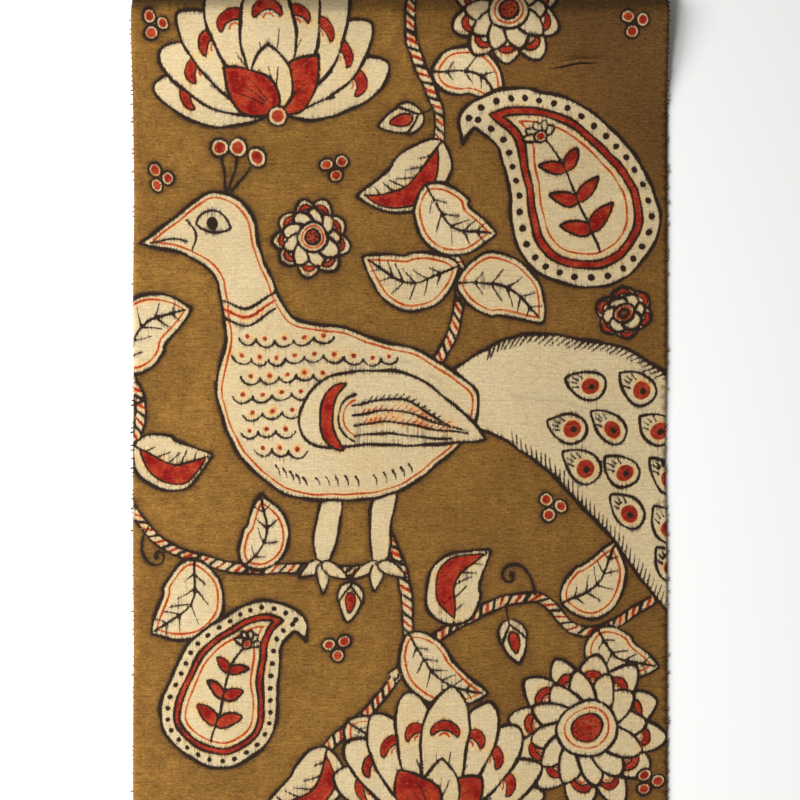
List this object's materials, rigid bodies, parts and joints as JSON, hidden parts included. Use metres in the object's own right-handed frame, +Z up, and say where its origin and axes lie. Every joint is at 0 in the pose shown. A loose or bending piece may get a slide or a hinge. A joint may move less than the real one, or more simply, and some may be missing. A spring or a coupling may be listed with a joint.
{
  "type": "kalamkari cloth",
  "caption": "Cut length of handwoven cotton kalamkari, lying face up with a low roll at its head end, for use as a drawn and dyed cloth surface.",
  "frame": {"origin": "middle of the cut length, on the surface that it lies on", "axes": "+Y along the warp towards the head end, +X along the weft to the right, +Z up out of the drawn face"},
  "size_m": [0.12, 0.1831, 0.0053],
  "materials": {
    "cotton": "matt plain-woven cotton, ochre ground with cream reserves, dark pen lines and red fills"
  },
  "bodies": {
    "root": {"cloth": "cotton"}
  },
  "joints": []
}
